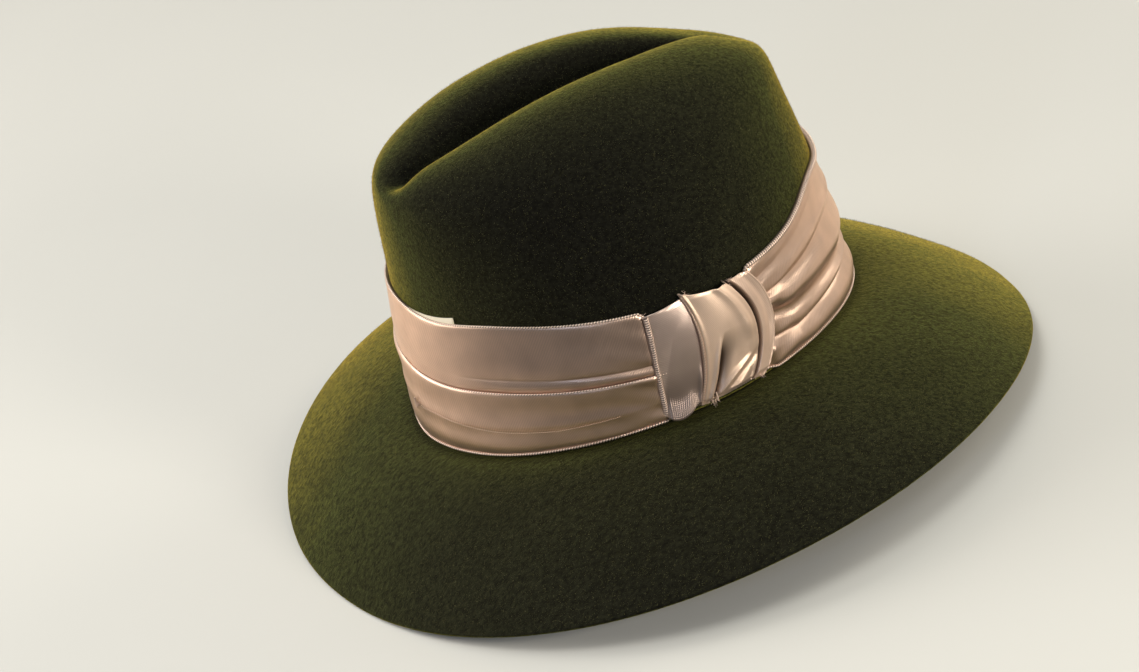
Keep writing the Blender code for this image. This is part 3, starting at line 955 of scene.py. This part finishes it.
def wrap_off(p, v):
    """The gathered wrap: a sunken pleat and a ridge that run together at its lower left."""
    body = 4.0 + 1.9 * np.sin(np.pi * np.clip(p, 0, 1)) ** 0.7 * (0.45 + 0.55 * np.clip(v, 0, 1))
    past, groove = wrap_groove(p, v)
    lip = 0.9 * smooth(0.62, 0.34, v) * ridge(past, -0.07, 0.035)
    streak = 0.8 * ridge(p, 0.16 + 2.0 * v, 0.08) * smooth(0.01, 0.06, v) * smooth(0.32, 0.22, v)
    valley = -0.9 * ridge(p, 0.38 + 1.9 * v, 0.11) * smooth(0.02, 0.08, v) * smooth(0.36, 0.22, v)
    belly = 0.7 * ridge(p, 0.80, 0.12) * smooth(0.10, 0.3, v) * smooth(0.8, 0.5, v)
    shoulder = 1.1 * ridge(p, 0.74 + 0.10 * (1 - v), 0.10) * smooth(0.40, 0.6, v)
    left_turn = 0.5 * ridge(p, 0.06, 0.035) - 1.8 * smooth(0.045, 0.0, p)
    right_turn = 0.4 * ridge(p, 0.92, 0.04) - 3.6 * smooth(0.955, 1.0, p)
    ends = -1.6 * smooth(0.07, 0.015, v) - 0.4 * smooth(1.0, 1.05, v)
    turns = left_turn + right_turn
    return body - 3.4 * groove + lip + streak + valley + belly + shoulder + turns + ends


# Painted shade in the wrap's pleat, at its right edge beside the strip and towards its foot
def wrap_painted_shade(p, v):
    past, groove = wrap_groove(p, v)
    foot = 0.35 * smooth(0.30, 0.05, v) * smooth(0.30, 0.60, p)
    pleat = np.minimum(1, 1.5 * groove) * (past > -0.01)
    side = 0.9 * smooth(0.97, 0.995, p)
    return np.maximum(np.maximum(pleat, side), foot)


def strip_foot(p):
    return 0.026 - 0.030 * p


def strip_top(p):
    return 0.975 + 0.028 * smooth(0.05, 0.25, p) - 0.015 * p * p


def strip_off(p, v):
    """The narrow strip, folded double: it rises out of the gap beside the wrap to a crisp edge."""
    rise = 1.0 + 3.7 * smooth(0.07, 0.24, p)
    dip = -0.6 * ridge(p, 0.66, 0.14) * smooth(0.1, 0.5, v)
    edge = 0.30 * ridge(p, 0.93, 0.035) - 1.6 * smooth(0.965, 1.0, p)
    ends = -1.2 * smooth(0.08, 0.02, v) - 0.4 * smooth(0.96, 1.0, v)
    return rise + dip + edge + ends


# Painted shade down the strip's left side, in the gap beside the wrap
def strip_painted_shade(p, v):
    return smooth(0.25, 0.13, p) + 0 * v


def knot():
    tab = (tab_left, tab_right, tab_foot, tab_top, tab_off, tab_painted_shade)
    piece = patch("knot_tab_satin", *tab, (120, 130), 0.5 * MM, SATIN_TAB)
    place(piece, "knot_tab", slot="satin_tab")
    wrap = (wrap_left, wrap_right, wrap_foot, wrap_top, wrap_off, wrap_painted_shade)
    piece = patch("knot_wrap_satin", *wrap, (170, 150), 0.6 * MM, SATIN_WRAP)
    place(piece, "knot_wrap", slot="satin_wrap")
    strip = (strip_left, strip_right, strip_foot, strip_top, strip_off, strip_painted_shade)
    piece = patch("knot_strip_satin", *strip, (120, 60), 0.6 * MM, SATIN_STRIP)
    place(piece, "knot_strip", slot="satin_strip")


def knot_edges():
    """Rolled edges: a full one down the tab's left side, thin ones on the wrap and the strip."""
    v = np.linspace(0.045, 0.965, 420)
    theta = np.radians(tab_left(v) + 0.75)
    off = np.full(v.shape, 3.1)
    radius = 0.85 + 0.1 * np.sin(9 * v)
    rolled_edge("knot_tab_roll", "knot_tab", theta, v, off, radius, SATIN_ROLL, pitch=1.0 * MM, slant=-1.0)
    v = np.linspace(0.02, 1.05, 420)
    theta = np.radians(wrap_left(v) + 0.3)
    off = 3.45 + 0.5 * np.sin(np.pi * v)
    radius = np.full(v.shape, 0.55)
    ribs = {"pitch": 1.2 * MM, "slant": -1.0, "relief": 0.08}
    rolled_edge("knot_wrap_roll", "knot_wrap", theta, v, off, radius, SATIN_WRAP_ROLL, **ribs)
    v = np.linspace(0.01, 0.975, 420)
    theta = np.radians(strip_right(v) - 0.1)
    off = 3.5 + 0.9 * np.sin(np.pi * v)
    radius = np.full(v.shape, 0.30)
    rolled_edge("knot_strip_roll", "knot_strip", theta, v, off, radius, SATIN_WRAP_ROLL, pitch=1.6 * MM)


def loose_threads():
    """Frayed ends where the satin was cut: at the knot's top and foot, and one tuft low at the back."""
    rng = np.random.default_rng(21)
    # Angle, height, distance off the felt, number of ends, longest end, and 1 up, 0 out or -1 down
    tufts = (
        (82.3, 1.055, 4.2, 16, 2.6, 1), (94.2, 0.995, 4.4, 18, 2.6, 1), (95.0, 0.99, 3.4, 8, 1.8, 1),
        (71.0, 0.985, 2.8, 8, 1.6, 1), (82.6, 0.02, 4.0, 14, 2.8, -1), (81.4, 0.03, 4.2, 8, 2.0, -1),
        (95.4, 0.02, 3.6, 14, 2.2, -1), (93.4, 0.035, 3.6, 8, 1.8, -1), (-1.0, 0.24, 3.0, 9, 3.2, 0),
    )
    made = bpy.data.curves.new("loose_threads", "CURVE")
    made.dimensions = "3D"
    made.bevel_depth = 0.085 * MM
    made.bevel_resolution = 1
    made.use_fill_caps = True
    for turn, height, off, count, longest, way in tufts:
        for _ in range(count):
            theta = math.radians(turn + rng.normal(0, 0.35))
            start = wall_point(theta, band_z(theta, height), off * MM)
            outer = wall_point(theta, band_z(theta, height), (off + 1) * MM)
            out = (outer - start) / np.linalg.norm(outer - start)
            aim = out * (0.35 + 0.4 * rng.random()) + (0, 0, way * 0.8) + rng.normal(0, 0.45, 3)
            aim /= np.linalg.norm(aim)
            length = longest * MM * (0.35 + 0.65 * rng.random())
            bend = rng.normal(0, 0.25, 3) * length
            line = made.splines.new("POLY")
            line.points.add(4)
            for k in range(5):
                t = k / 4
                at = start + aim * length * (t - 0.12) + bend * t * t
                line.points[k].co = (*at, 1)
                line.points[k].radius = 1 - 0.55 * t
    made.materials.append(SATIN_THREAD)
    place(add_object("loose_threads", made))


# ---- tape, ribbon and thread ------------------------------------------------------------------


def backing_tape():
    """It shows above the band only just before its cut end, and lies lower behind the knot."""
    cut_end = 20.5
    turn = np.linspace(cut_end - 350.5, cut_end, 420)
    theta = np.radians(turn)[None, :]
    across = np.linspace(0, 1, 14)[:, None]
    show = np.clip(1 - (cut_end - turn) / 28, 0, 1)[None, :]
    foot = 0.30
    top = 0.965 + 0.078 * show - 0.10 * under_knot(theta)
    v = foot + (top - foot) * across
    grid = wall_point(theta, band_z(theta, v), GAP + 0.5 * MM)
    piece = grid_object("tape_cream", grid, ring=False, uv=cloth_uv(grid, False), look=tape_material())
    thicken(piece, TAPE)
    place(piece, "backing_tape", slot="cream_tape")


def sweatband():
    """The head ribbon, slightly wavy at its free edge, and the fold over its join at the back."""
    look = grosgrain_material("grosgrain", (0.030, 0.028, 0.018))
    theta = np.radians(np.linspace(0.6, 359.4, 420))[None, :]
    rise = np.linspace(0.5, 32, 24)[:, None] * MM
    # Inwards past the crown's felt and the brim's collar
    offset = -(CROWN_FELT + GAP + BRIM_FELT + GAP)
    wave = 0.25 * MM * np.sin(theta * 23) * smooth(12 * MM, 30 * MM, rise)
    grid = wall_point(theta, headline_z(theta) + rise, offset + wave)
    piece = grid_object("sweatband_ribbon", grid, ring=False, uv=cloth_uv(grid, False), look=look)
    thicken(piece, RIBBON)
    place(piece, "sweatband", slot="grosgrain")
    theta = np.radians(np.linspace(-5.5, 5.5, 30))[None, :]
    rise = np.linspace(8, 31, 24)[:, None] * MM
    grid = wall_point(theta, headline_z(theta) + rise, offset - 1.2 * MM)
    look = grosgrain_material("grosgrain_tab", (0.034, 0.031, 0.020))
    piece = grid_object("sweatband_fold", grid, ring=False, uv=cloth_uv(grid, False), look=look)
    thicken(piece, RIBBON)
    place(piece, "sweatband_tab", slot="grosgrain_tab")


def threads():
    """The sewing keeps its CAD shape and only gets its looks."""
    looks = {
        "headline_thread": thread_material("felt_thread", (0.045, 0.045, 0.022)),
        "sweatband_thread": thread_material("ribbon_thread", (0.060, 0.055, 0.030)),
    }
    for name in ("knot_tack", "band_tack"):
        looks[name] = SATIN_THREAD
    for name, look in looks.items():
        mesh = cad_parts[name].data
        mesh.materials.clear()
        mesh.materials.append(look)


# ---- stage ------------------------------------------------------------------------------------

VIEW_AZIMUTH = math.radians(67.65)
VIEW_ELEVATION = math.radians(28.25)
VIEW_ROLL = math.radians(-14.62)
VIEW_DISTANCE = 1190.4 * BLOCK
VIEW_RIGHT = -28.2 * BLOCK
VIEW_UP = -1.6 * BLOCK
LENS = 88.5
# Strength of the light from all round: on the viewer's side, and behind the hat
WORLD_NEAR = 0.07
WORLD_FAR = 0.75
FLOOR_DROP = 0.2 * MM
AIM = Vector((0, -CROWN_SETBACK, HEADLINE_Z))

TOWARDS_EYE = Vector(
    (
        math.sin(VIEW_AZIMUTH) * math.cos(VIEW_ELEVATION),
        -math.cos(VIEW_AZIMUTH) * math.cos(VIEW_ELEVATION),
        math.sin(VIEW_ELEVATION),
    )
)
LEVEL_RIGHT = Vector((math.cos(VIEW_AZIMUTH), math.sin(VIEW_AZIMUTH), 0))


def camera():
    level_up = TOWARDS_EYE.cross(LEVEL_RIGHT)
    right = math.cos(VIEW_ROLL) * LEVEL_RIGHT + math.sin(VIEW_ROLL) * level_up
    up = -math.sin(VIEW_ROLL) * LEVEL_RIGHT + math.cos(VIEW_ROLL) * level_up
    data = bpy.data.cameras.new("camera")
    data.lens = LENS
    data.sensor_width = 36
    data.clip_end = 50
    made = add_object("camera", data)
    eye = AIM + TOWARDS_EYE * VIEW_DISTANCE + right * VIEW_RIGHT + up * VIEW_UP
    turn = Matrix((right, up, TOWARDS_EYE)).transposed().to_4x4()
    made.matrix_world = Matrix.Translation(eye) @ turn
    bpy.context.scene.camera = made


def lamp(name, right, near, up, size, power, tint):
    """A softbox aimed at the crown, at its distances to the right, towards the eye and up."""
    data = bpy.data.lights.new(name, "AREA")
    data.shape = "DISK"
    data.size = size
    data.energy = power
    data.color = tint
    made = add_object(name, data)
    forward = Vector((TOWARDS_EYE.x, TOWARDS_EYE.y, 0)).normalized()
    target = AIM + Vector((0, 0, 50 * BLOCK))
    made.location = target + LEVEL_RIGHT * right + forward * near + Vector((0, 0, up))
    made.rotation_euler = (target - made.location).to_track_quat("-Z", "Y").to_euler()


def studio_world():
    """Soft light from all round, brighter behind the hat and dim on the viewer's side."""
    world = bpy.data.worlds.new("studio")
    world.use_nodes = True
    tree = world.node_tree
    background = tree.nodes["Background"]
    where = tree.nodes.new("ShaderNodeTexCoord")
    away = tree.nodes.new("ShaderNodeVectorMath")
    away.operation = "DOT_PRODUCT"
    away.inputs[1].default_value = (-TOWARDS_EYE.x, -TOWARDS_EYE.y, 0.1)
    ramp = tree.nodes.new("ShaderNodeMapRange")
    ramp.inputs["From Min"].default_value = -0.5
    ramp.inputs["From Max"].default_value = 0.7
    ramp.inputs["To Min"].default_value = WORLD_NEAR
    ramp.inputs["To Max"].default_value = WORLD_FAR
    tree.links.new(where.outputs["Generated"], away.inputs[0])
    tree.links.new(away.outputs["Value"], ramp.inputs["Value"])
    tree.links.new(ramp.outputs["Result"], background.inputs["Strength"])
    background.inputs["Color"].default_value = (1.0, 0.98, 0.92, 1)
    bpy.context.scene.world = world


# Softboxes: name, metres to the right, towards the eye and up, size in metres, watts and tint
LAMPS = (
    ("side_right", 1.4, -0.4, 0.65, 0.7, 6, (1.0, 0.90, 0.74)),
    ("front_right", 0.85, 1.1, 0.42, 0.45, 14, (1.0, 0.91, 0.78)),
    ("side_left", -1.5, -0.35, 0.50, 1.1, 20, (1.0, 0.92, 0.84)),
    ("top", -0.40, 0.25, 1.6, 0.8, 7.4, (1.0, 0.97, 0.90)),
    ("top_back", -0.55, -0.8, 1.4, 0.9, 4.4, (1.0, 0.95, 0.84)),
    ("fill", -0.9, 1.5, 0.8, 0.35, 3.6, (0.60, 0.74, 1.0)),
)


def stage():
    bpy.ops.mesh.primitive_plane_add(size=14, location=(0, 0, -FLOOR_DROP))
    floor = bpy.context.object
    floor.name = "floor"
    floor.data.materials.append(floor_material())
    studio_world()
    bpy.context.scene.view_settings.view_transform = "Standard"
    for softbox in LAMPS:
        lamp(*softbox)


crown_felt()
brim_felt()
satin_band()
band_edges()
band_stitches()
knot()
knot_edges()
loose_threads()
backing_tape()
sweatband()
threads()
camera()
stage()
